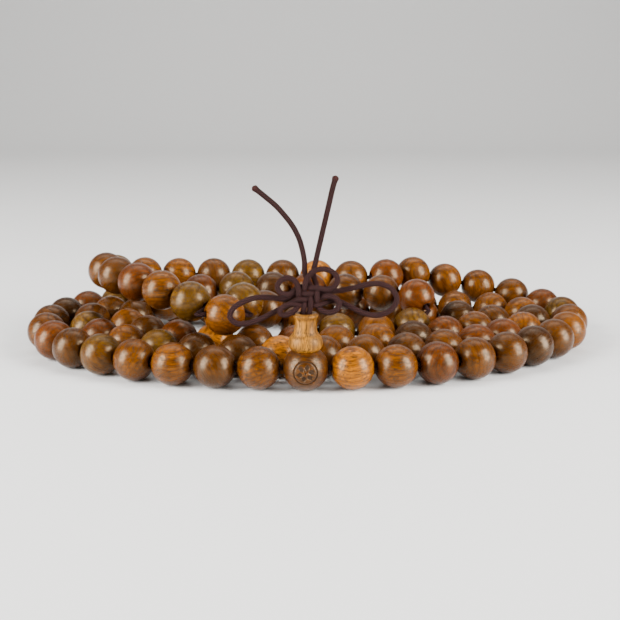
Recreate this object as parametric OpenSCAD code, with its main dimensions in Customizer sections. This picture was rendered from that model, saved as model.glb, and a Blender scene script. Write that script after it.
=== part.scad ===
// Mala prayer beads: a long string of round wooden beads laid down in a loose coil of laps,
// closed by a larger guru bead that carries a turned tower bead and a decorative knot.
// The strand is one closed route. Bead centres sit at a constant pitch along it, every bore
// follows the route, and the cord runs from bore to bore.

/* [Beads] */
// Diameter of one counting bead, which sets the scale of the whole mala
bead_d = 8; // [6:0.5:12]
// Guru bead diameter as a multiple of the counting bead diameter
guru_ratio = 1.05; // [1:0.01:1.06]
// Bore through a counting bead, for an 8 mm bead
bore_d = 1.8; // [1.6:0.1:2]
// Width of the bore mouth's chamfer, for an 8 mm bead
mouth = 0.4; // [0.2:0.05:0.4]

/* [Cord] */
// Thickness of the braided elastic cord, for an 8 mm bead
cord_d = 1; // [0.8:0.05:1.05]

/* [Tower] */
// Height of the tower bead above its seat on the guru bead
tower_h = 6.8; // [6:0.1:8]
// Diameter of the tower bead's belly
belly_d = 6.2; // [5.8:0.1:6.6]
// Diameter of the tower bead's neck
neck_d = 3.9; // [3.6:0.1:4.4]
// Diameter of the tower bead's rim
rim_d = 4.6; // [4.4:0.1:5]

/* [Hidden] */
unit_bead = 8;
size_k = bead_d / unit_bead;
bead_r = unit_bead / 2;
guru_r = bead_r * guru_ratio;
cord_r = cord_d / 2;
bore_r = bore_d / 2;
bead_total = 109;
pitch = 8.179;
guru_pitch = 8.55;
steps = 12;
round_fn = 48;
cord_sides = 8;
// The cord leaves every bore straight, and goes further before a sharper turn
exit_gap = 0.05;
turn_free = 0.4;
turn_reach = 4;
// The two cord ends turn up inside the guru bead, so the strand stops short of its middle
strand_stop = 1.35;
riser_x = 0.55;
riser_start = -0.3;
tower_bore_r = 1.2;
seat_gap = 0.03;
knot_gap = 0.03;
knot_rise = 0.9;
wood = [0.55, 0.33, 0.13];
dark_wood = [0.45, 0.25, 0.11];
straw_wood = [0.86, 0.70, 0.42];
cord_brown = [0.20, 0.12, 0.12];

// Route of the strand around the coil, from the guru bead and back to it
ROUTE = [
    [0, 0, guru_r],
    // outer lap on the table: left side, then the back
    [-12, 1, 4], [-25, 3.5, 4], [-37, 9, 4], [-48, 17.5, 4], [-54.5, 29, 4],
    [-55, 42, 4], [-50, 54, 4], [-41, 61, 4], [-28, 63, 4], [-14, 62.5, 4],
    [0, 61.5, 4], [12, 59.5, 4], [22, 56.6, 4], [32, 53.2, 4], [42, 51.2, 4],
    [49.2, 44.2, 4], [48.4, 34.4, 4], [42.6, 26.2, 4],
    // second lap on the table
    [34, 18.3, 4], [23, 12.5, 4], [11, 9.6, 4], [0, 8.8, 4], [-12, 9.6, 4],
    [-23, 12, 4], [-33.5, 16.8, 4], [-42.5, 24, 4], [-46.5, 32.5, 4], [-46.5, 42, 4],
    [-42, 49.5, 4], [-34, 53.2, 4], [-24, 53.2, 4], [-12, 52.6, 4], [0, 51.6, 4],
    [9, 49.8, 4], [18, 47, 4], [27, 43.2, 4], [35, 41, 4], [40.6, 36.6, 4],
    [36.5, 31.2, 4], [28.8, 26, 4],
    // third lap: front on the table, back raised on the second lap
    [20, 20.8, 4], [10, 18.2, 4], [0, 17.4, 4], [-11, 18.2, 4], [-20, 20.2, 4],
    [-29, 24.2, 4], [-36.5, 30, 4], [-39, 37.5, 4], [-35.5, 44.8, 5], [-27, 45.8, 8.5],
    [-17, 45.6, 9.8], [-8, 45.2, 9.8], [0, 44.4, 9.8], [9, 42.8, 9.8], [17, 40.5, 9.9],
    [24, 37, 9.6],
    // inner hairpin, low on the right and climbing to the middle
    [22, 30.5, 4.4], [13, 28.3, 4], [5, 29, 4], [-2, 29, 5.5], [-8, 27.5, 8.8],
    // hairpin on top of the front laps, then the strand that climbs to the back left
    [-12.4, 20.8, 12], [-14.8, 13.1, 11], [-21.9, 16.4, 12.8], [-28.4, 21.4, 14.2],
    [-34.3, 27, 14.8], [-39.8, 33.2, 15.1], [-43.6, 40.2, 15], [-44.2, 47, 13.6],
    // raised back row in the valley between two laps, crossing the outer one on the right
    [-39.8, 53.2, 12], [-33, 57.2, 11], [-26, 58.3, 10.9], [-13, 57.8, 10.6],
    [0, 56.6, 10.7], [10.5, 54.1, 10.9], [18.8, 54, 11.3], [26, 58.9, 11],
    [33.8, 60.2, 9], [41.5, 60.4, 7.6], [48.4, 59, 6],
    // down to the table and along the right side to the guru bead
    [53.7, 55.4, 4.6], [57.3, 49.4, 4], [57.8, 42, 4], [56.6, 34, 4], [52.6, 25.7, 4],
    [45, 16.9, 4], [35, 9.2, 4], [24, 4, 4], [12, 1, 4]
];

// Knot and its loops, seen from the knot's centre: x to the right, y to the back, z up
KNOT_W = 5.2;
KNOT_H = 4.4;
KNOT_X = 0.4;
weave_y = 0.35;
EAR_LEFT = [
    [-2.2, -0.2, 0.9], [-3.4, -0.4, 0.4], [-4.8, -0.5, 0.7], [-5.4, -0.5, 1.8],
    [-4.8, -0.5, 2.9], [-3.5, -0.4, 3.4], [-2.3, -0.3, 2.8], [-1.5, -0.2, 1.8]
];
EAR_RIGHT = [
    [-0.3, -0.2, 1.8], [-0.2, -0.4, 3.2], [0.9, -0.5, 4.5], [2.6, -0.5, 5],
    [4.4, -0.5, 4.5], [5.3, -0.5, 3.2], [4.8, -0.4, 1.9], [3.5, -0.3, 1.3],
    [2.3, -0.2, 1.1]
];
LOOP_LOW_RIGHT = [
    [2.2, -0.3, -0.2], [3.6, -0.5, 0.1], [5, -0.5, -0.3], [5.6, -0.5, -1.4],
    [5, -0.5, -2.5], [3.8, -0.5, -2.9], [2.5, -0.4, -2.5], [1.6, -0.2, -1.8]
];
LOOP_LOW_LEFT = [
    [-2, -0.3, -1.1], [-3, -0.5, -1.3], [-4.1, -0.6, -1.7], [-4.9, -0.7, -2.4],
    [-4.8, -0.8, -3.1], [-4, -0.8, -3.3], [-3.1, -0.8, -2.95], [-2.3, -0.7, -2.45],
    [-1.9, -0.4, -1.9]
];
LOOP_RIGHT = [
    [2.2, 0.5, 0.6], [4, 0.8, 0.7], [6.2, 0.9, 0.9], [8.5, 0.9, 1.4], [10.8, 0.8, 2],
    [13, 0.7, 2.1], [15, 0.6, 1.2], [16, 0.5, -0.7], [15, 0.5, -2.6],
    [12.8, 0.5, -3.6], [10.2, 0.6, -3.3], [7.6, 0.7, -2.1], [5, 0.8, -1], [2.2, 0.5, -0.6]
];
LOOP_LEFT = [
    [-2.2, 0.5, -0.5], [-4, 0.6, -0.6], [-6.4, 0.5, -0.4], [-8.8, 0.3, -0.3],
    [-11.2, 0.1, -0.9], [-13.3, 0, -2.2], [-14, 0, -3.8], [-12.8, 0, -5],
    [-10.8, 0.1, -5], [-8.4, 0.3, -4.2], [-6, 0.5, -3], [-3.8, 0.6, -1.9], [-2.1, 0.5, -1.4]
];
TAIL_LEFT = [
    [-0.7, 0.5, 1.6], [-0.5, 0.8, 4], [-0.6, 0.9, 6.2], [-1, 0.9, 8.4],
    [-1.6, 0.8, 10.4], [-2.6, 0.7, 12.4], [-4, 0.6, 14.3], [-5.6, 0.6, 16.1],
    [-7.6, 0.6, 17.8], [-9.7, 0.6, 19.5]
];
TAIL_RIGHT = [
    [0.7, 0.5, 1.6], [1, 0.8, 3.7], [1.4, 0.9, 6], [1.9, 0.9, 8.3], [2.4, 0.8, 10.5],
    [2.9, 0.7, 12.7], [3.4, 0.6, 14.9], [3.9, 0.6, 17.1], [4.4, 0.6, 19.3], [5, 0.6, 21.4]
];

// Interpolation: a smooth curve through route points, with knots spaced by root distance
function unit(v) = v / norm(v);
function slope(a, b, c, da, db) = (b - a) / da - (c - a) / (da + db) + (c - b) / db;
function blend(p, q, mp, mq, t) =
    (2 * pow(t, 3) - 3 * t * t + 1) * p + (pow(t, 3) - 2 * t * t + t) * mp
    + (3 * t * t - 2 * pow(t, 3)) * q + (pow(t, 3) - t * t) * mq;
function span(a, p, q, b, n) =
    let (d0 = sqrt(norm(p - a)), d1 = sqrt(norm(q - p)), d2 = sqrt(norm(b - q)))
    let (mp = slope(a, p, q, d0, d1) * d1, mq = slope(p, q, b, d1, d2) * d1)
    [for (k = [0:n - 1]) blend(p, q, mp, mq, k / n)];
function closed_curve(pts, n) =
    let (m = len(pts))
    [for (i = [0:m - 1]) each span(
        pts[(i + m - 1) % m], pts[i], pts[(i + 1) % m], pts[(i + 2) % m], n)];
function open_curve(pts, n) =
    let (m = len(pts), ends = concat([2 * pts[0] - pts[1]], pts, [2 * pts[m - 1] - pts[m - 2]]))
    concat([for (i = [1:m - 1]) each span(ends[i - 1], ends[i], ends[i + 1], ends[i + 2], n)],
        [pts[m - 1]]);

// Bead centres: each one is the route's next point at the given distance from the last
curve = closed_curve(ROUTE, steps);
function on_curve(i) = curve[i % len(curve)];
function ahead(i, c, gap) = norm(on_curve(i + 1) - c) >= gap ? i : ahead(i + 1, c, gap);
function reach(a, b, c, gap) =
    let (d = b - a, f = a - c, qa = d * d, qb = 2 * f * d, qc = f * f - gap * gap)
    a + d * ((-qb + sqrt(qb * qb - 4 * qa * qc)) / (2 * qa));
function next(state, gap) =
    let (i = ahead(state[0], state[1], gap))
    [i, reach(on_curve(i), on_curve(i + 1), state[1], gap)];
walked = [for (n = 0, s = [0, curve[0]]; n < bead_total;
    s = next(s, n == 0 ? guru_pitch : pitch), n = n + 1) s[1]];
// A bead never sinks below the table
centres = [for (i = [0:bead_total - 1]) let (c = walked[i], r = i == 0 ? guru_r : bead_r)
    [c[0], c[1], max(c[2], r)]];
axes = [for (i = [0:bead_total - 1]) i == 0 ? [-1, 0, 0]
    : unit(centres[(i + 1) % bead_total] - centres[i - 1])];
exits = [for (i = [0:bead_total - 1]) axes[i] * ((i == 0 ? guru_r : bead_r) + exit_gap)];
function sine_between(a, b) = norm(cross(a, b));
function straight_run(i, j) =
    max(0, sine_between(axes[i], unit(centres[j] - centres[i])) - turn_free) * turn_reach;
function run_end(i, j, side) =
    let (run = straight_run(i, j))
    run > 0 ? [centres[i] + side * (exits[i] + axes[i] * run)] : [];
function through_bead(i) = concat(
    run_end(i, i - 1, -1), [centres[i] - exits[i], centres[i] + exits[i]],
    run_end(i, (i + 1) % bead_total, 1));
strand_path = concat(
    [centres[0] + axes[0] * strand_stop, centres[0] + exits[0]],
    [for (i = [1:bead_total - 1]) each through_bead(i)],
    [centres[0] - exits[0], centres[0] - axes[0] * strand_stop]);

// The origin is the middle of the beads' footprint, on the table
low_x = min([for (c = centres) c[0]]) - bead_r;
high_x = max([for (c = centres) c[0]]) + bead_r;
high_y = max([for (c = centres) c[1]]) + bead_r;
home = [-(low_x + high_x) / 2, -(high_y - guru_r) / 2, 0];

seat_z = guru_r * 2 - 0.8;
tower_top = seat_z + tower_h;
knot_c = [KNOT_X, 0, tower_top + knot_rise + KNOT_H / 2];

// Which beads are separate nodes: those along the outside and on top of the coil
near_left = [1:12];
top_and_right = [80:108];
function two_digits(i) = i < 10 ? str("0", i) : str(i);
function bead_name(i) = str("bead_", two_digits(i));
own_beads = concat([for (i = near_left) i], [for (i = top_and_right) i]);
BEAD_GROUPS = [["beads_back_lap", 13, 24], ["beads_second_lap", 25, 52],
    ["beads_inner_lap", 53, 79]];

// A tube of varying radius along a path: one ring a point, each square to the path there
module tube(path, radii, up) {
    n = len(path);
    rings = [for (i = [0:n - 1])
        let (t = unit(path[min(i + 1, n - 1)] - path[max(i - 1, 0)]),
            side = unit(cross(up, t)), lift = cross(t, side))
        for (k = [0:cord_sides - 1])
            path[i] + radii[i] * (cos(360 * k / cord_sides) * side
                + sin(360 * k / cord_sides) * lift)];
    walls = [for (i = [0:n - 2], k = [0:cord_sides - 1])
        let (a = i * cord_sides + k, b = i * cord_sides + (k + 1) % cord_sides)
        each [[a, a + cord_sides, b], [b, a + cord_sides, b + cord_sides]]];
    first = [for (k = [0:cord_sides - 1]) k];
    last = [for (k = [cord_sides - 1:-1:0]) (n - 1) * cord_sides + k];
    polyhedron(rings, concat([first], walls, [last]));
}

function even(path) = [for (p = path) cord_r];

module place() {
    scale(size_k) translate(home) children();
}

module turn_to(dir) {
    rotate([0, acos(dir[2]), atan2(dir[1], dir[0])]) children();
}

// A ball drilled along Z, with a chamfer at each mouth of the bore
module drilled_ball(r) {
    difference() {
        sphere(r = r, $fn = round_fn);
        cylinder(r = bore_r, h = 2 * r + 2, center = true, $fn = round_fn);
        for (side = [0, 1]) mirror([0, 0, side])
            translate([0, 0, r - 2 * mouth])
                cylinder(r1 = bore_r - mouth, r2 = bore_r + 2 * mouth, h = 3 * mouth, $fn = round_fn);
    }
}

module counting_bead(i) {
    translate(centres[i]) turn_to(axes[i]) drilled_ball(bead_r);
}

module bead_group(first_i, last_i) {
    color(wood) place() for (i = [first_i:last_i]) counting_bead(i);
}

module own_bead(i) {
    color(wood) place() counting_bead(i);
}

module cord_strand() {
    color(cord_brown) place() tube(strand_path, even(strand_path), [0, 0, 1]);
}

// The guru bead has one bore for the strand and a wider one up from its middle
module guru_bead() {
    color(dark_wood) place() translate(centres[0]) difference() {
        turn_to([1, 0, 0]) drilled_ball(guru_r);
        cylinder(r = tower_bore_r, h = guru_r + 1, $fn = round_fn);
    }
}

// Half outline of the turned tower, from the seat's edge over belly, neck and rim
function tower_side() = open_curve([
    [belly_d / 2 - 0.55, 0.05], [belly_d / 2 - 0.1, 0.6], [belly_d / 2, 1.5],
    [belly_d / 2 - 0.25, 2.4], [belly_d / 2 - 0.85, 3.2], [neck_d / 2 + 0.08, 4],
    [neck_d / 2, 4.9], [neck_d / 2 + 0.05, tower_h - 1.1], [rim_d / 2 - 0.04, tower_h - 0.6],
    [rim_d / 2, tower_h - 0.3], [rim_d / 2 - 0.25, tower_h]], 4);

module tower_bead() {
    color(straw_wood) place() translate([0, 0, seat_z]) difference() {
        rotate_extrude($fn = round_fn) polygon(concat(
            [[tower_bore_r, 0.05]], tower_side(), [[tower_bore_r, tower_h]]));
        translate([0, 0, guru_r - seat_z]) sphere(r = guru_r + seat_gap, $fn = round_fn);
    }
}

// Both ends of the cord, side by side from the guru bead's middle to the knot
module riser_cords() {
    top_z = knot_c[2] - KNOT_H / 2 - knot_gap;
    color(cord_brown) place() for (x = [-riser_x, riser_x])
        translate([x, 0, guru_r + riser_start])
            cylinder(r = cord_r, h = top_z - guru_r - riser_start, $fn = 24);
}

// The woven middle of the knot: four upright runs behind four level ones
module knot_body() {
    color(cord_brown) place() translate(knot_c) {
        for (i = [-1.5:1.5]) translate([i * 1.1, weave_y, 0])
            cylinder(r = cord_r, h = KNOT_H, center = true, $fn = 24);
        for (i = [-1.5:1.5]) translate([0, -weave_y, i * 1.05]) rotate([0, 90, 0])
            cylinder(r = cord_r, h = KNOT_W, center = true, $fn = 24);
    }
}

module knot_loop(points) {
    path = open_curve(points, 2);
    color(cord_brown) place() translate(knot_c) tube(path, even(path), [0, 1, 0]);
}

// A standing end of the cord, swollen at its melted tip
module knot_tail(points) {
    path = open_curve(points, 2);
    n = len(path);
    radii = [for (i = [0:n - 1]) i == n - 1 ? cord_r * 0.7 : i == n - 2 ? cord_r * 1.25 : cord_r];
    color(cord_brown) place() translate(knot_c) tube(path, radii, [0, 1, 0]);
}

cord_strand();
guru_bead();
tower_bead();
riser_cords();
knot_body();
knot_loop(EAR_LEFT);  // ear_left
knot_loop(EAR_RIGHT);  // ear_right
knot_loop(LOOP_LEFT);  // loop_left
knot_loop(LOOP_RIGHT);  // loop_right
knot_loop(LOOP_LOW_LEFT);  // loop_low_left
knot_loop(LOOP_LOW_RIGHT);  // loop_low_right
knot_tail(TAIL_LEFT);  // tail_left
knot_tail(TAIL_RIGHT);  // tail_right
for (g = BEAD_GROUPS) bead_group(g[1], g[2]);
for (i = own_beads) own_bead(i);
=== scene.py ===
"""Mala prayer beads: detailed pieces, materials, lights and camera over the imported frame."""
import math
import random

import bpy
import numpy as np
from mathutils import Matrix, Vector


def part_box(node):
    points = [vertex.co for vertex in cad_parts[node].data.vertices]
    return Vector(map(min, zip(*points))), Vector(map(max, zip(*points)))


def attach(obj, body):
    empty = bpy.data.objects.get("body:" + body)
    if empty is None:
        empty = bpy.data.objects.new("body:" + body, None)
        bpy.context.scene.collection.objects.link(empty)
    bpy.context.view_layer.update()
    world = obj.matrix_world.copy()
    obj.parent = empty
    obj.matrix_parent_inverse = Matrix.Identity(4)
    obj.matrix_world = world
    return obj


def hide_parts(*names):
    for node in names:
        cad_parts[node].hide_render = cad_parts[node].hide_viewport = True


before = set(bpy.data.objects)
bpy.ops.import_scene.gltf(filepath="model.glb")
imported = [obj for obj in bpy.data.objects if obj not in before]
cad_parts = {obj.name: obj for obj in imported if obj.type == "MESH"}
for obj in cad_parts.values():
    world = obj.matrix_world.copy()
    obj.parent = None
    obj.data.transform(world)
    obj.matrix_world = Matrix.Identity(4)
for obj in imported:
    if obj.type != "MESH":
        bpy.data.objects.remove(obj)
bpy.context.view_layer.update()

MM = 0.001
rng = random.Random(108)

# --- Sizes that part.scad holds too, in millimetres ---------------------------------------
BEAD_R = 4.0
GURU_R = 4.2
BORE_R = 0.9
CORD_R = 0.5
BEADS = 109  # the guru bead, number 0, and 108 counting beads
PITCH = 8.179
GURU_PITCH = 8.55
ROUTE_STEPS = 12
EXIT_GAP = 0.05  # how far outside a bore the cord may start to turn
TURN_FREE = 0.4  # sine of the turn up to which it turns at once
TURN_REACH = 4  # how far it runs on straight, for each unit of sine past that
STRAND_IN_GURU = 1.35
RISER_OFF = 0.55
TOWER_SEAT = 7.6
TOWER_H = 6.8
TOWER_BORE_R = 1.2
KNOT_CENTRE = np.array([0.4, 0.0, 17.5])

# Route of the strand around the coil, from the guru bead and back to it
ROUTE = [
    [0, 0, GURU_R],
    [-12, 1, 4], [-25, 3.5, 4], [-37, 9, 4], [-48, 17.5, 4], [-54.5, 29, 4],
    [-55, 42, 4], [-50, 54, 4], [-41, 61, 4], [-28, 63, 4], [-14, 62.5, 4],
    [0, 61.5, 4], [12, 59.5, 4], [22, 56.6, 4], [32, 53.2, 4], [42, 51.2, 4],
    [49.2, 44.2, 4], [48.4, 34.4, 4], [42.6, 26.2, 4],
    [34, 18.3, 4], [23, 12.5, 4], [11, 9.6, 4], [0, 8.8, 4], [-12, 9.6, 4],
    [-23, 12, 4], [-33.5, 16.8, 4], [-42.5, 24, 4], [-46.5, 32.5, 4], [-46.5, 42, 4],
    [-42, 49.5, 4], [-34, 53.2, 4], [-24, 53.2, 4], [-12, 52.6, 4], [0, 51.6, 4],
    [9, 49.8, 4], [18, 47, 4], [27, 43.2, 4], [35, 41, 4], [40.6, 36.6, 4],
    [36.5, 31.2, 4], [28.8, 26, 4],
    [20, 20.8, 4], [10, 18.2, 4], [0, 17.4, 4], [-11, 18.2, 4], [-20, 20.2, 4],
    [-29, 24.2, 4], [-36.5, 30, 4], [-39, 37.5, 4], [-35.5, 44.8, 5], [-27, 45.8, 8.5],
    [-17, 45.6, 9.8], [-8, 45.2, 9.8], [0, 44.4, 9.8], [9, 42.8, 9.8], [17, 40.5, 9.9],
    [24, 37, 9.6],
    [22, 30.5, 4.4], [13, 28.3, 4], [5, 29, 4], [-2, 29, 5.5], [-8, 27.5, 8.8],
    [-12.4, 20.8, 12], [-14.8, 13.1, 11], [-21.9, 16.4, 12.8], [-28.4, 21.4, 14.2],
    [-34.3, 27, 14.8], [-39.8, 33.2, 15.1], [-43.6, 40.2, 15], [-44.2, 47, 13.6],
    [-39.8, 53.2, 12], [-33, 57.2, 11], [-26, 58.3, 10.9], [-13, 57.8, 10.6],
    [0, 56.6, 10.7], [10.5, 54.1, 10.9], [18.8, 54, 11.3], [26, 58.9, 11],
    [33.8, 60.2, 9], [41.5, 60.4, 7.6], [48.4, 59, 6],
    [53.7, 55.4, 4.6], [57.3, 49.4, 4], [57.8, 42, 4], [56.6, 34, 4], [52.6, 25.7, 4],
    [45, 16.9, 4], [35, 9.2, 4], [24, 4, 4], [12, 1, 4],
]

# Loops and ends of the knot, from the knot's centre
EAR_LEFT = [
    [-3.4, -0.4, 0.4], [-4.8, -0.5, 0.7], [-5.4, -0.5, 1.8], [-4.8, -0.5, 2.9],
    [-3.5, -0.4, 3.4], [-2.3, -0.3, 2.8],
]
EAR_RIGHT = [
    [-0.2, -0.4, 3.2], [0.9, -0.5, 4.5], [2.6, -0.5, 5], [4.4, -0.5, 4.5],
    [5.3, -0.5, 3.2], [4.8, -0.4, 1.9], [3.5, -0.3, 1.3],
]
LOOP_LOW_RIGHT = [
    [3.6, -0.5, 0.1], [5, -0.5, -0.3], [5.6, -0.5, -1.4], [5, -0.5, -2.5],
    [3.8, -0.5, -2.9], [2.5, -0.4, -2.5],
]
LOOP_LOW_LEFT = [
    [-3, -0.5, -1.3], [-4.1, -0.6, -1.7], [-4.9, -0.7, -2.4], [-4.8, -0.8, -3.1],
    [-4, -0.8, -3.3], [-3.1, -0.8, -2.95], [-2.3, -0.7, -2.45],
]
LOOP_RIGHT = [
    [4, 0.8, 0.7], [6.2, 0.9, 0.9], [8.5, 0.9, 1.4], [10.8, 0.8, 2],
    [13, 0.7, 2.1], [15, 0.6, 1.2], [16, 0.5, -0.7], [15, 0.5, -2.6],
    [12.8, 0.5, -3.6], [10.2, 0.6, -3.3], [7.6, 0.7, -2.1], [5, 0.8, -1],
]
LOOP_LEFT = [
    [-4, 0.6, -0.6], [-6.4, 0.5, -0.4], [-8.8, 0.3, -0.3],
    [-11.2, 0.1, -0.9], [-13.3, 0, -2.2], [-14, 0, -3.8], [-12.8, 0, -5],
    [-10.8, 0.1, -5], [-8.4, 0.3, -4.2], [-6, 0.5, -3], [-3.8, 0.6, -1.9],
]
TAIL_LEFT = [
    [-0.5, 0.8, 4], [-0.6, 0.9, 6.2], [-1, 0.9, 8.4], [-1.6, 0.8, 10.4], [-2.6, 0.7, 12.4],
    [-4, 0.6, 14.3], [-5.6, 0.6, 16.1], [-7.6, 0.6, 17.8], [-9.7, 0.6, 19.5],
]
TAIL_RIGHT = [
    [1, 0.8, 3.7], [1.4, 0.9, 6], [1.9, 0.9, 8.3], [2.4, 0.8, 10.5], [2.9, 0.7, 12.7],
    [3.4, 0.6, 14.9], [3.9, 0.6, 17.1], [4.4, 0.6, 19.3], [5, 0.6, 21.4],
]

# The row frame's origin is the middle of the footprint, so places are moved by the guru's
guru_low, guru_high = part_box("guru_bead")
HOME = np.array([(guru_low.x + guru_high.x) / 2, (guru_low.y + guru_high.y) / 2, 0.0])


def to_frame(points):
    """Points in millimetres from the guru's foot, as metres in the row frame."""
    return np.asarray(points, float) * MM + HOME


# --- Curves -------------------------------------------------------------------------------
def slope(a, b, c, da, db):
    """Slope at b of a smooth curve that takes da from a to b and db from b to c."""
    return (b - a) / da - (c - a) / (da + db) + (c - b) / db


def span(a, p, q, b, steps):
    """Points from p towards q on the smooth curve through a, p, q and b."""
    d0, d1, d2 = (math.sqrt(np.linalg.norm(v)) for v in (p - a, q - p, b - q))
    out = slope(a, p, q, d0, d1) * d1
    back = slope(p, q, b, d1, d2) * d1
    t = (np.arange(steps) / steps)[:, None]
    return ((2 * t**3 - 3 * t**2 + 1) * p + (t**3 - 2 * t**2 + t) * out
            + (3 * t**2 - 2 * t**3) * q + (t**3 - t**2) * back)


def closed_curve(points, steps):
    """A smooth curve through points and back to the first."""
    p = np.asarray(points, float)
    n = len(p)
    return np.vstack([span(p[i - 1], p[i], p[(i + 1) % n], p[(i + 2) % n], steps)
                      for i in range(n)])


def open_curve(points, steps):
    """A smooth curve from the first of points to the last."""
    p = np.asarray(points, float)
    p = np.vstack([2 * p[0] - p[1], p, 2 * p[-1] - p[-2]])
    parts = [span(p[i - 1], p[i], p[i + 1], p[i + 2], steps) for i in range(1, len(p) - 2)]
    return np.vstack(parts + [p[-2:-1]])


def unit(v):
    return v / np.linalg.norm(v)


def bead_places():
    """Centres and bore directions of the guru, place 0, and of the beads after it."""
    curve = closed_curve(ROUTE, ROUTE_STEPS)
    n = len(curve)
    centres, k = [curve[0]], 0
    while len(centres) < BEADS:
        gap = GURU_PITCH if len(centres) == 1 else PITCH
        here = centres[-1]
        while np.linalg.norm(curve[(k + 1) % n] - here) < gap:
            k += 1
        start, step = curve[k % n], curve[(k + 1) % n] - curve[k % n]
        off = start - here
        # How far along the step, as a share of it, the curve is a gap away from here
        square, line, rest = step @ step, 2 * off @ step, off @ off - gap * gap
        share = (-line + math.sqrt(line * line - 4 * square * rest)) / (2 * square)
        centres.append(start + step * share)
    centres = np.array(centres)
    centres[1:, 2] = np.maximum(centres[1:, 2], BEAD_R)
    axes = [np.array([-1.0, 0, 0])]
    axes += [unit(centres[(i + 1) % BEADS] - centres[i - 1]) for i in range(1, BEADS)]
    return centres, axes


CENTRES, AXES = bead_places()

# --- Camera -------------------------------------------------------------------------------
SENSOR = 36
LENS = 58.06
CAMERA_PLACE = [0.8, -175.4, 53.2]
LOOKS_DOWN = 12.3  # degrees

camera_data = bpy.data.cameras.new("camera")
camera_data.sensor_width = SENSOR
camera_data.lens = LENS
camera = bpy.data.objects.new("camera", camera_data)
camera.location = to_frame(CAMERA_PLACE)
camera.rotation_euler = (math.radians(90 - LOOKS_DOWN), 0, 0)
bpy.context.scene.collection.objects.link(camera)
bpy.context.scene.camera = camera


# --- Mesh helpers -------------------------------------------------------------------------
def add_mesh(name, verts, faces, colours=None, vectors=None, floats=None):
    """A smooth-shaded object from points in metres, with its point attributes."""
    mesh = bpy.data.meshes.new(name)
    mesh.from_pydata(np.asarray(verts).tolist(), [], faces)
    mesh.polygons.foreach_set("use_smooth", [True] * len(mesh.polygons))
    for key, values in (vectors or {}).items():
        mesh.attributes.new(key, "FLOAT_VECTOR", "POINT").data.foreach_set(
            "vector", np.asarray(values, np.float32).ravel())
    for key, values in (colours or {}).items():
        values = np.asarray(values, np.float32)
        rgba = np.hstack([values, np.ones((len(values), 1), np.float32)])
        mesh.attributes.new(key, "FLOAT_COLOR", "POINT").data.foreach_set("color", rgba.ravel())
    for key, values in (floats or {}).items():
        mesh.attributes.new(key, "FLOAT", "POINT").data.foreach_set(
            "value", np.asarray(values, np.float32).ravel())
    mesh.validate()
    obj = bpy.data.objects.new(name, mesh)
    bpy.context.scene.collection.objects.link(obj)
    return obj


def settle(obj, material, slot, body, *nodes):
    """Give a piece its material and body, and hide the CAD nodes that it stands for. slot is not
    used.
    """
    obj.data.materials.append(material)
    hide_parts(*nodes)
    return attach(obj, body)


def grid_faces(rows, sides, closed_rows=False):
    """Quads between rows of points, each row a closed ring of sides points."""
    last = rows if closed_rows else rows - 1
    return [((r * sides) + k, (r * sides) + (k + 1) % sides,
             ((r + 1) % rows * sides) + (k + 1) % sides, ((r + 1) % rows * sides) + k)
            for r in range(last) for k in range(sides)]


def frame_to(axis):
    """Two directions square to axis, and axis itself, as rows."""
    axis = unit(np.asarray(axis, float))
    helper = np.array([0, 0, 1.0]) if abs(axis[2]) < 0.9 else np.array([0, 1.0, 0])
    u = unit(np.cross(helper, axis))
    return np.array([u, np.cross(axis, u), axis])


def lathe(profile, sides):
    """Points of a turned form about Z, from (radius, height) pairs."""
    angle = np.linspace(0, 2 * math.pi, sides, endpoint=False)
    ring = np.stack([np.cos(angle), np.sin(angle)], 1)
    return np.vstack([np.hstack([ring * r, np.full((sides, 1), z)]) for r, z in profile])


def tube(path, radii, sides):
    """Rings of a tube along path, with each point's distance along and turn around."""
    path = np.asarray(path, float)
    step = np.gradient(path, axis=0)
    along = np.concatenate([[0], np.cumsum(np.linalg.norm(np.diff(path, axis=0), axis=1))])
    angle = np.arange(sides) / sides
    normal = frame_to(step[0])[0]
    rings, dist, turn = [], [], []
    for point, t, r, s in zip(path, step, radii, along):
        t = unit(t)
        normal = unit(normal - t * (normal @ t))
        other = np.cross(t, normal)
        wave = 2 * math.pi * angle[:, None]
        rings.append(point + r * (np.cos(wave) * normal + np.sin(wave) * other))
        dist += [s] * sides
        turn += angle.tolist()
    return np.vstack(rings), np.array(dist), np.array(turn)


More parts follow.
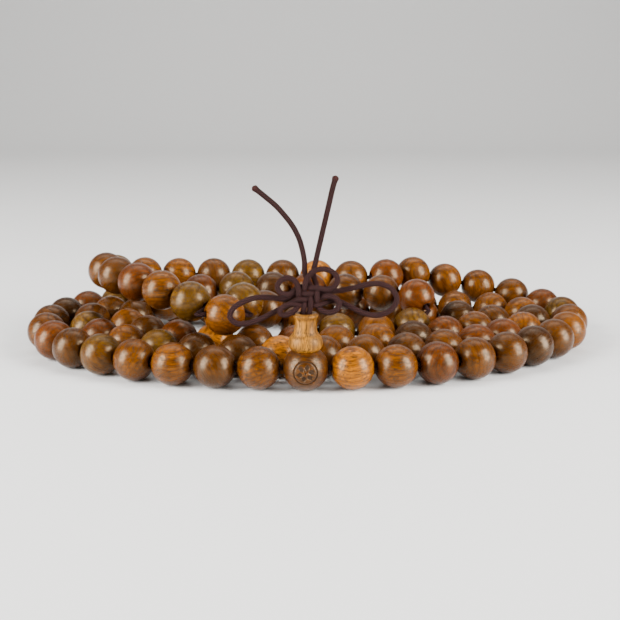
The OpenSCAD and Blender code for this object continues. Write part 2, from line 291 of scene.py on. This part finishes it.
# --- Node helpers -------------------------------------------------------------------------
class Graph:
    """Short forms for building a material's nodes."""

    def __init__(self, name):
        self.material = bpy.data.materials.new(name)
        self.material.use_nodes = True
        self.tree = self.material.node_tree
        self.shader = self.tree.nodes["Principled BSDF"]

    def put(self, socket, value):
        """Link value to socket if it is another node's output, or else set it."""
        if isinstance(value, bpy.types.NodeSocket):
            self.tree.links.new(value, socket)
        else:
            socket.default_value = value

    def attribute(self, name, output="Vector"):
        node = self.tree.nodes.new("ShaderNodeAttribute")
        node.attribute_name = name
        return node.outputs[output]

    def math(self, kind, a, b=0.0, c=0.0):
        node = self.tree.nodes.new("ShaderNodeMath")
        node.operation = kind
        for socket, value in zip(node.inputs, (a, b, c)):
            self.put(socket, value)
        return node.outputs[0]

    def parts(self, vector):
        node = self.tree.nodes.new("ShaderNodeSeparateXYZ")
        self.put(node.inputs[0], vector)
        return node.outputs

    def noise(self, place, per_mm, detail=2.0, rough=0.5):
        """Noise over a place in mm, with per_mm lumps to a millimetre along X, Y and Z."""
        scaled = self.tree.nodes.new("ShaderNodeVectorMath")
        scaled.operation = "MULTIPLY"
        self.put(scaled.inputs[0], place)
        scaled.inputs[1].default_value = per_mm
        node = self.tree.nodes.new("ShaderNodeTexNoise")
        self.put(node.inputs["Vector"], scaled.outputs[0])
        node.inputs["Scale"].default_value = 1.0
        node.inputs["Detail"].default_value = detail
        node.inputs["Roughness"].default_value = rough
        return node.outputs["Fac"]

    def spread(self, value, low, high, out_low=0.0, out_high=1.0):
        """value from low..high eased to out_low..out_high."""
        node = self.tree.nodes.new("ShaderNodeMapRange")
        node.interpolation_type = "SMOOTHSTEP"
        for socket, given in zip(node.inputs, (value, low, high, out_low, out_high)):
            self.put(socket, given)
        return node.outputs[0]

    def mix(self, share, a, b, kind="MIX"):
        """Colour a with a share of colour b."""
        node = self.tree.nodes.new("ShaderNodeMix")
        node.data_type = "RGBA"
        node.blend_type = kind
        self.put(node.inputs["Factor"], share)
        self.put(node.inputs["A"], a)
        self.put(node.inputs["B"], b)
        return node.outputs["Result"]

    def bump(self, height, distance, strength):
        """Bend the shader's normal by a height of 0..1 that stands for distance metres."""
        node = self.tree.nodes.new("ShaderNodeBump")
        node.inputs["Strength"].default_value = strength
        node.inputs["Distance"].default_value = distance
        self.put(node.inputs["Height"], height)
        self.put(self.shader.inputs["Normal"], node.outputs[0])


def tone(r, g, b):
    """A colour named in display values, as linear values."""
    return tuple((c / 255) ** 2.2 for c in (r, g, b))


def opaque(r, g, b):
    return (*tone(r, g, b), 1)


# --- Materials ----------------------------------------------------------------------------
DARKER = (0.36, 0.30, 0.22, 1)
PALER = (1.8, 1.6, 1.3, 1)
PORE = opaque(34, 19, 6)
CARVED = opaque(30, 15, 8)
POLISH_TINT = (1.0, 0.74, 0.46, 1)


RING_TURN = 6.2  # radians of the ring pattern to a millimetre of the log's radius
RING_DRIFT = 16.0  # radians that the pattern wanders


def growth_rings(g, place):
    """Wavy rings about the log's heart, 0..1, with finer ones between them."""
    wander = g.noise(place, (0.35, 0.35, 0.08))
    x, y, _ = g.parts(place)
    radius = g.math("SQRT", g.math("ADD", g.math("MULTIPLY", x, x), g.math("MULTIPLY", y, y)))
    phase = g.math("MULTIPLY_ADD", radius, RING_TURN, g.math("MULTIPLY", wander, RING_DRIFT))
    broad = g.math("MULTIPLY_ADD", g.math("SINE", phase), 0.5, 0.5)
    fine = g.math("MULTIPLY_ADD", g.math("SINE", g.math("MULTIPLY", phase, 2.7)), 0.5, 0.5)
    both = g.math("MULTIPLY_ADD", fine, 0.35, g.math("MULTIPLY", broad, 0.65))
    return g.math("POWER", both, 2.2)


def wood(name, rings, streaks, grain, pores, roughness):
    """Polished wood. rings, streaks and pores are how strongly each shows, and grain is how
    many fibres there are to a mm. The mesh's wood_pos is the place in the log in mm, X and Y
    across the rings and Z along the fibres. tint and second are the two colours that the wood
    drifts between, figure how strongly this piece shows its rings, carved how deep it is cut."""
    g = Graph(name)
    place = g.attribute("wood_pos")
    tint, second = g.attribute("tint", "Color"), g.attribute("second", "Color")
    carved = g.attribute("carved", "Fac")
    fibre = g.noise(place, (grain, grain, grain * 0.1), 4.0, 0.7)
    pore = g.spread(g.noise(place, (4.4, 4.4, 0.8), 3.0, 0.6), 0.54, 0.60)
    cloud = g.spread(g.noise(place, (0.22, 0.22, 0.12)), 0.38, 0.62)

    colour = g.mix(cloud, tint, second)
    darker = g.mix(1.0, colour, DARKER, "MULTIPLY")
    ring_share = g.math("MULTIPLY", g.attribute("figure", "Fac"), rings)
    colour = g.mix(g.math("MULTIPLY", growth_rings(g, place), ring_share), colour, darker)
    colour = g.mix(g.spread(fibre, 0.45, 0.66, 0.0, streaks), colour, darker)
    # Paler fibres: the wood's own lighter fibres, made brighter still as a painted sheen of
    # golden shimmer on the polished grain.
    paler = g.mix(1.0, colour, PALER, "MULTIPLY")
    colour = g.mix(g.spread(fibre, 0.52, 0.32, 0.0, 0.5), colour, paler)
    colour = g.mix(g.math("MULTIPLY", pore, pores), colour, PORE)
    g.put(g.shader.inputs["Base Color"], g.mix(carved, colour, CARVED))

    rough = g.math("MULTIPLY_ADD", fibre, 0.16, roughness - 0.08)
    rough = g.math("MULTIPLY_ADD", carved, 0.35, g.math("MULTIPLY_ADD", pore, 0.1, rough))
    g.put(g.shader.inputs["Roughness"], rough)
    g.shader.inputs["Specular IOR Level"].default_value = 0.36
    g.shader.inputs["Specular Tint"].default_value = POLISH_TINT
    g.bump(g.math("MULTIPLY_ADD", pore, -1.0, g.math("MULTIPLY", fibre, -0.35)), 0.012 * MM, 0.8)
    return g.material


BRAID_STRANDS = 8
BRAID_STEP = 1.15  # mm along the cord for a strand's crossings to repeat
MELTED = opaque(50, 19, 13)


def braid(name):
    """Braided elastic cord. The mesh's braid_pos is (mm along, turns around, 0), cord_pos its
    place in mm, and melted how far its end has been melted."""
    g = Graph(name)
    along, around, _ = g.parts(g.attribute("braid_pos"))
    place, melted = g.attribute("cord_pos"), g.attribute("melted", "Fac")
    along = g.math("MULTIPLY", along, 2 * math.pi / BRAID_STEP)
    around = g.math("MULTIPLY", around, math.pi * BRAID_STRANDS)
    one = g.math("SINE", g.math("ADD", along, around))
    other = g.math("SINE", g.math("SUBTRACT", along, around))
    ribs = g.math("ABSOLUTE", g.math("MULTIPLY", one, other))
    fuzz = g.noise(place, (9.0, 9.0, 9.0), 3.0, 0.7)
    drift = g.noise(place, (0.4, 0.4, 0.4))

    # Painted shade and painted light of the braid: its colour goes near black in the grooves
    # between the strands and pale on their crests, on top of the real bump of the same ribs.
    share = g.math("MULTIPLY_ADD", ribs, 0.65, g.math("MULTIPLY", fuzz, 0.35))
    colour = g.mix(g.spread(share, 0.28, 0.78), opaque(2, 1, 1), opaque(65, 36, 34))
    colour = g.mix(g.spread(drift, 0.45, 0.75, 0.0, 0.3), colour, opaque(34, 14, 11))
    g.put(g.shader.inputs["Base Color"], g.mix(melted, colour, MELTED))
    g.put(g.shader.inputs["Roughness"], g.math("MULTIPLY_ADD", melted, -0.3, 0.78))
    g.shader.inputs["Specular IOR Level"].default_value = 0.12
    g.bump(g.math("MULTIPLY_ADD", fuzz, 0.4, ribs), 0.14 * MM, 0.9)
    return g.material


BEAD_WOOD = wood("bead_wood", rings=1.1, streaks=0.95, grain=3.6, pores=0.95, roughness=0.27)
GURU_WOOD = wood("guru_wood", rings=1.1, streaks=0.95, grain=3.6, pores=0.95, roughness=0.30)
TOWER_WOOD = wood("tower_wood", rings=0.8, streaks=1.0, grain=2.8, pores=0.8, roughness=0.5)
CORD = braid("elastic_cord")


# --- Cords --------------------------------------------------------------------------------
WEAVE = 0.32  # how far a run of the knot passes before or behind the knot's middle plane
UPRIGHTS = [-1.65, -0.55, 0.55, 1.65]
LEVELS = [1.575, 0.525, -0.525, -1.575]
CORD_SIDES = 16
CORD_STEPS = 8  # rings of a knot cord between two points of its route
TIP_MELT = 1.1
TIP_SWELL = 0.28
TIP_SWELL_AT = 0.5
TIP_SWELL_HALF = 0.6
TIP_END = 0.35


def lift(i, j):
    """How far back upright run i passes level run j: two crossings behind, then two in front."""
    return WEAVE if (i + j + 2) % 4 < 2 else -WEAVE


def upright(i):
    """A run up through the knot, over and under the level ones."""
    return [[UPRIGHTS[i], lift(i, j), z] for j, z in reversed(list(enumerate(LEVELS)))]


def level(j):
    """A run from left to right through the knot."""
    return [[x, -lift(i, j), LEVELS[j]] for i, x in enumerate(UPRIGHTS)]


def back(points):
    return points[::-1]


RISER_DROPS = (TOWER_SEAT + TOWER_H - 2 * GURU_R, 2.5, 0.4)  # below the top of the tower


def riser(x):
    """From the top of the guru bead up through the tower."""
    top = TOWER_SEAT + TOWER_H - KNOT_CENTRE[2]
    return [[x - KNOT_CENTRE[0], 0, top - drop] for drop in RISER_DROPS]


LONG_END = (
    riser(-RISER_OFF) + upright(1) + EAR_RIGHT + back(level(0)) + EAR_LEFT + back(upright(0))
    + back(LOOP_LOW_LEFT) + level(3) + back(LOOP_RIGHT) + back(level(1)) + LOOP_LEFT
    + level(2) + LOOP_LOW_RIGHT + upright(3) + TAIL_RIGHT)
SHORT_END = riser(RISER_OFF) + upright(2) + TAIL_LEFT


def add_cord(name, path, body, *nodes, radii=None, melted=0.0):
    """A closed tube of braided cord along path, in mm."""
    rows = len(path)
    radii = np.full(rows, CORD_R) if radii is None else radii
    melted = np.broadcast_to(melted, rows)
    verts, dist, turn = tube(path, radii, CORD_SIDES)
    faces = grid_faces(rows, CORD_SIDES)
    faces += [list(range(CORD_SIDES))[::-1],
              [(rows - 1) * CORD_SIDES + k for k in range(CORD_SIDES)]]
    obj = add_mesh(
        name, to_frame(verts), faces, floats={"melted": np.repeat(melted, CORD_SIDES)},
        vectors={"braid_pos": np.stack([dist, turn, 0 * dist], 1), "cord_pos": verts})
    return settle(obj, CORD, "elastic_cord", body, *nodes)


def knot_cord(name, points, nodes):
    """A free end of the cord, from the guru bead to a tip that is sealed by melting: a blob
    that narrows to its very end."""
    path = open_curve(np.array(points) + KNOT_CENTRE, CORD_STEPS)
    to_tip = np.linalg.norm(path - path[-1], axis=1)
    to_tip[:len(path) // 2] = np.inf
    blob = np.clip(1 - np.abs(to_tip - TIP_SWELL_AT) / TIP_SWELL_HALF, 0, 1)
    radii = CORD_R * (1 + TIP_SWELL * blob)
    radii[-1] *= TIP_END
    obj = add_cord(name, path, "knot", *nodes, radii=radii,
                   melted=np.clip(1 - to_tip / TIP_MELT, 0, 1))
    return obj


KNOT_NODES = ["knot_body", "ear_left", "ear_right", "loop_left", "loop_right",
              "loop_low_left", "loop_low_right", "tail_right"]
knot_cord("cord_end_long", LONG_END, KNOT_NODES)
knot_cord("cord_end_short", SHORT_END, ["knot_body", "tail_left"])


def straight_run(i, j):
    """How far the cord leaves bead i straight before it turns towards bead j."""
    sine = np.linalg.norm(np.cross(AXES[i], unit(CENTRES[j] - CENTRES[i])))
    return max(0.0, sine - TURN_FREE) * TURN_REACH


def strand_path():
    """From inside the guru bead through all the bores and back into it."""
    exit_x = GURU_R + EXIT_GAP
    points = [[-STRAND_IN_GURU, 0, GURU_R], [-exit_x, 0, GURU_R]]
    for i in range(1, BEADS):
        middle, bore, end = CENTRES[i], AXES[i], BEAD_R + EXIT_GAP
        before, after = straight_run(i, i - 1), straight_run(i, (i + 1) % BEADS)
        if before > 0:
            points.append(middle - bore * (end + before))
        points += [middle - bore * end, middle, middle + bore * end]
        if after > 0:
            points.append(middle + bore * (end + after))
    return np.array(points + [[exit_x, 0, GURU_R], [STRAND_IN_GURU, 0, GURU_R]])


add_cord("cord_through_beads", strand_path(), "strand", "cord_strand")

RISER_STEP = 0.5
RISER_FOOT = GURU_R - 0.3
riser_z = np.arange(RISER_FOOT, 2 * GURU_R + RISER_STEP, RISER_STEP)
for side, x in (("left", -RISER_OFF), ("right", RISER_OFF)):
    path = np.stack([np.full(len(riser_z), x), 0 * riser_z, riser_z], 1)
    add_cord(f"riser_{side}", path, "guru", "riser_cords")

# --- Beads --------------------------------------------------------------------------------
# The two colours that each kind of bead drifts between
TONES = {
    "gold": (tone(158, 93, 1), tone(134, 79, 1)),
    "honey": (tone(106, 60, 0), tone(90, 51, 0)),
    "amber": (tone(90, 51, 0), tone(77, 43, 0)),
    "brown": (tone(76, 43, 0), tone(65, 37, 0)),
    "olive": (tone(94, 65, 18), tone(80, 54, 12)),
    "moss": (tone(76, 53, 12), tone(80, 48, 8)),
    "red": (tone(90, 46, 0), tone(76, 38, 0)),
    "dark": (tone(58, 33, 0), tone(50, 28, 0)),
}
# Beads that the photo shows well
SEEN_TONES = {
    1: "amber", 2: "brown", 3: "honey", 4: "amber", 5: "moss", 6: "brown", 7: "red",
    8: "amber", 9: "brown", 10: "dark", 11: "red", 12: "olive",
    108: "gold", 107: "honey", 106: "red", 105: "amber", 104: "brown", 103: "dark",
    102: "brown", 101: "honey", 100: "amber",
    78: "moss", 79: "honey", 80: "olive", 81: "honey", 82: "red", 83: "brown", 84: "amber",
}
# How often each kind is drawn for the other beads
TONE_SHARES = {"gold": 2, "honey": 8, "amber": 12, "brown": 8, "olive": 3, "moss": 2, "red": 8,
               "dark": 2}
# Beads whose rings lie level, so that lines run around them
LEVEL_RINGS = {3, 81, 107, 108}
LEVEL_FIGURE = 0.95
BEAD_SIDES = 48
BEAD_ROWS = 32
MOUTH_OUT = 0.27  # from the bore's wall to where its rounded mouth meets the ball


def bead_profile(r):
    """(radius, height) around a drilled ball: half its bore, mouth, ball, mouth."""
    mouth = [(BORE_R, 0.0)]
    mouth += [(BORE_R + out, r - deep) for out, deep in ((0, 0.5), (0.03, 0.36), (0.12, 0.24))]
    start = math.asin((BORE_R + MOUTH_OUT) / r)
    ball = [(r * math.sin(a), r * math.cos(a))
            for a in np.linspace(start, math.pi - start, BEAD_ROWS)]
    return mouth + ball + [(p, -z) for p, z in mouth[:0:-1]]


def log_frame(i):
    """Where in its log bead i was cut: rows out through the rings, across and along the fibre,
    and the bead's place in the log in mm."""
    if i in LEVEL_RINGS:
        fibre, out = np.array([1, 0.15, 0.05]), np.array([0.0, 0.2, 1])
    else:
        fibre, out = (np.array([rng.gauss(0, 1) for _ in range(3)]) for _ in range(2))
    fibre = unit(fibre)
    out = unit(out - fibre * (out @ fibre))
    return np.array([out, np.cross(fibre, out), fibre]), np.array(
        [rng.uniform(9, 26), rng.uniform(-6, 6), rng.uniform(-200, 200)])


PROFILE = bead_profile(BEAD_R)
BALL = lathe(PROFILE, BEAD_SIDES)
BALL_FACES = grid_faces(len(PROFILE), BEAD_SIDES, closed_rows=True)


def bead_data(i):
    """Points of one bead in mm, and its point attributes."""
    local = BALL @ frame_to(AXES[i])
    turned, offset = log_frame(i)
    picked = SEEN_TONES.get(i) or rng.choices(list(TONE_SHARES), TONE_SHARES.values())[0]
    brightness = rng.uniform(0.88, 1.12)
    tint, second = (np.array(t) * brightness for t in TONES[picked])
    figure = LEVEL_FIGURE if i in LEVEL_RINGS else rng.uniform(0.5, 1.1)
    n = len(local)
    return {"points": local + CENTRES[i], "wood_pos": local @ turned.T + offset,
            "tint": np.tile(tint, (n, 1)), "second": np.tile(second, (n, 1)),
            "figure": np.full(n, figure)}


def add_beads(name, indices, body, node):
    """One piece of all the beads that a CAD node holds."""
    beads = [bead_data(i) for i in indices]
    joined = {key: np.concatenate([bead[key] for bead in beads]) for key in beads[0]}
    points = joined["points"]
    faces = [[k * len(BALL) + corner for corner in face]
             for k in range(len(beads)) for face in BALL_FACES]
    obj = add_mesh(name, to_frame(points), faces,
                   colours={"tint": joined["tint"], "second": joined["second"]},
                   vectors={"wood_pos": joined["wood_pos"]},
                   floats={"figure": joined["figure"], "carved": np.zeros(len(points))})
    return settle(obj, BEAD_WOOD, "bead_wood", body, node)


GROUPS = {"beads_back_lap": (13, 24), "beads_second_lap": (25, 52), "beads_inner_lap": (53, 79)}
for node, (first, last) in GROUPS.items():
    add_beads(f"wood_{node}", range(first, last + 1), "strand", node)
for node in sorted(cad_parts):
    tail = node.removeprefix("bead_")
    if tail != node:
        add_beads(f"wood_{node}", [int(tail)], f"body_{node}", node)

# --- Guru bead with a carved rosette ------------------------------------------------------
GURU_SIDES = 300
GURU_ROWS = 180
CARVE_DEPTH = 0.16
CARVE_EDGE = 0.09  # mm over which a cut slopes down
CARVE_DARK = 0.95
PETALS = 6
PETAL_FROM, PETAL_TO, PETAL_HALF = 0.5, 1.7, 0.46
RING_R, RING_HALF = 2.1, 0.15
DOT_R = 0.24
GURU_TINT, GURU_SECOND = tone(74, 42, 1), tone(64, 36, 1)
GURU_IN_LOG = [11, 1, 40]


def carving(x, z):
    """How deep the rosette is cut, 0 to 1, at x, z in mm from its middle."""
    far = np.hypot(x, z)
    turn = np.arctan2(z, x)
    off = np.abs((turn * PETALS / (2 * math.pi) + 0.25) % 1 - 0.5) * 2 * math.pi / PETALS
    inside = np.clip((far - PETAL_FROM) / (PETAL_TO - PETAL_FROM), 0, 1)
    half = PETAL_HALF * np.sin(math.pi * inside) ** 0.9
    petal = np.clip((half - far * np.sin(off)) / CARVE_EDGE, 0, 1)
    ring = np.clip((RING_HALF - np.abs(far - RING_R)) / CARVE_EDGE, 0, 1)
    dot = np.clip((DOT_R - far) / CARVE_EDGE, 0, 1)
    return np.maximum(np.maximum(petal, ring), dot)


def guru_profile():
    """(radius, height) around the guru bead: mouth, ball, mouth."""
    mouth = [(BORE_R, GURU_R - 0.5), (BORE_R + 0.1, GURU_R - 0.26)]
    start = math.asin((BORE_R + MOUTH_OUT) / GURU_R)
    ball = [(GURU_R * math.sin(a), GURU_R * math.cos(a))
            for a in np.linspace(start, math.pi - start, GURU_ROWS)]
    return mouth + ball + [(p, -z) for p, z in mouth[::-1]]


def add_guru():
    profile = guru_profile()
    local = lathe(profile, GURU_SIDES) @ frame_to([1, 0, 0])
    cut = carving(local[:, 0], local[:, 2]) * (local[:, 1] < 0)
    local *= (1 - CARVE_DEPTH / GURU_R * cut)[:, None]
    n = len(local)
    out = unit([0.25, 0.3, 1])
    fibre = unit(np.cross(out, [0, 1, 0]))
    log = np.array([out, np.cross(fibre, out), fibre])
    obj = add_mesh(
        "guru_carved", to_frame(local + CENTRES[0]),
        grid_faces(len(profile), GURU_SIDES, closed_rows=True),
        colours={"tint": np.tile(GURU_TINT, (n, 1)), "second": np.tile(GURU_SECOND, (n, 1))},
        vectors={"wood_pos": local @ log.T + GURU_IN_LOG},
        floats={"figure": np.ones(n), "carved": cut * CARVE_DARK})
    return settle(obj, GURU_WOOD, "guru_wood", "guru", "guru_bead")


add_guru()

# --- Tower bead ---------------------------------------------------------------------------
# (radius, height) up the outside, from its foot on the guru bead
TOWER_SIDE = [
    [2.55, 0.05], [3.0, 0.6], [3.1, 1.5], [2.85, 2.4], [2.25, 3.2], [2.03, 4], [1.95, 4.9],
    [2.0, 5.7], [2.26, 6.2], [2.3, 6.5], [2.05, 6.8],
]
TOWER_SIDES = 72
TOWER_SEAT_R = GURU_R + 0.03
TOWER_TINT, TOWER_SECOND = tone(140, 93, 28), tone(106, 67, 16)
TOWER_FIGURE = 0.5
TOWER_IN_LOG = [7, 2, 90]


def tower_profile():
    """(radius, height) around the tower: hollow seat, outside, top and down into its bore."""
    seat = [(r, math.sqrt(TOWER_SEAT_R**2 - r * r) + GURU_R - TOWER_SEAT)
            for r in np.linspace(TOWER_BORE_R, 2.5, 6)]
    outside = [(x, z) for x, _, z in open_curve([[r, 0, z] for r, z in TOWER_SIDE], 6)]
    top = [(r, TOWER_H - deep) for r, deep in ((1.8, 0.0), (1.4, 0.02), (1.25, 0.08))]
    bore = [(TOWER_BORE_R, TOWER_H - deep) for deep in (0.2, 2.0, 4.0)]
    return seat + outside + top + bore


def add_tower():
    profile = tower_profile()
    local = lathe(profile, TOWER_SIDES)
    n = len(local)
    obj = add_mesh(
        "tower_turned", to_frame(local + [0, 0, TOWER_SEAT]),
        grid_faces(len(profile), TOWER_SIDES, closed_rows=True),
        colours={"tint": np.tile(TOWER_TINT, (n, 1)), "second": np.tile(TOWER_SECOND, (n, 1))},
        vectors={"wood_pos": local + TOWER_IN_LOG},
        floats={"figure": np.full(n, TOWER_FIGURE), "carved": np.zeros(n)})
    return settle(obj, TOWER_WOOD, "tower_wood", "tower", "tower_bead")


add_tower()

# --- Floor, world and lights, in metres ---------------------------------------------------
FLOOR_COLOUR = (0.72, 0.71, 0.69, 1)
FLOOR_ROUGHNESS = 0.5
FLOOR_HALF = 3.0
CURVE_START = 0.7
CURVE_R = 0.6
BACK_TOP = 2.4
WORLD_COLOUR = (0.9, 0.92, 0.95, 1)
WORLD_STRENGTH = 0.12
MIDDLE = (0, 0, 0.01)
SOFTBOX_OFF = 0.42
SOFTBOX_SIZE = (0.27, 0.42)
SOFTBOX_WATTS = 10.5


def floor_material():
    g = Graph("pale_floor")
    g.shader.inputs["Base Color"].default_value = FLOOR_COLOUR
    g.shader.inputs["Roughness"].default_value = FLOOR_ROUGHNESS
    return g.material


def add_floor():
    """A sheet that lies flat under the beads and curves up behind them."""
    sweep = [(-FLOOR_HALF, 0.0)]
    sweep += [(CURVE_START + CURVE_R * math.sin(a), CURVE_R * (1 - math.cos(a)))
              for a in np.linspace(0, math.pi / 2, 24)]
    sweep += [(CURVE_START + CURVE_R, BACK_TOP)]
    obj = add_mesh(
        "floor", [(x, y, z) for y, z in sweep for x in (-FLOOR_HALF, FLOOR_HALF)],
        [(2 * k, 2 * k + 1, 2 * k + 3, 2 * k + 2) for k in range(len(sweep) - 1)])
    obj.data.materials.append(floor_material())


def set_world():
    world = bpy.data.worlds.new("studio")
    world.use_nodes = True
    background = world.node_tree.nodes["Background"]
    background.inputs["Color"].default_value = WORLD_COLOUR
    background.inputs["Strength"].default_value = WORLD_STRENGTH
    bpy.context.scene.world = world


def area_light(name, place, aim, size, watts):
    light = bpy.data.lights.new(name, "AREA")
    light.shape = "RECTANGLE"
    light.size, light.size_y = size
    light.energy = watts
    obj = bpy.data.objects.new(name, light)
    obj.location = place
    obj.rotation_euler = (Vector(aim) - Vector(place)).to_track_quat("-Z", "Y").to_euler()
    bpy.context.scene.collection.objects.link(obj)


add_floor()
set_world()
for side, x in (("left", -SOFTBOX_OFF), ("right", SOFTBOX_OFF)):
    area_light(f"softbox_{side}", (x, -0.22, 0.19), MIDDLE, SOFTBOX_SIZE, SOFTBOX_WATTS)
area_light("overhead", (0, 0.25, 0.9), MIDDLE, (0.8, 0.6), 3.0)
area_light("backdrop_light", (0, 0.5, 1.1), (0, 1.15, 0.1), (2.0, 0.4), 9.0)
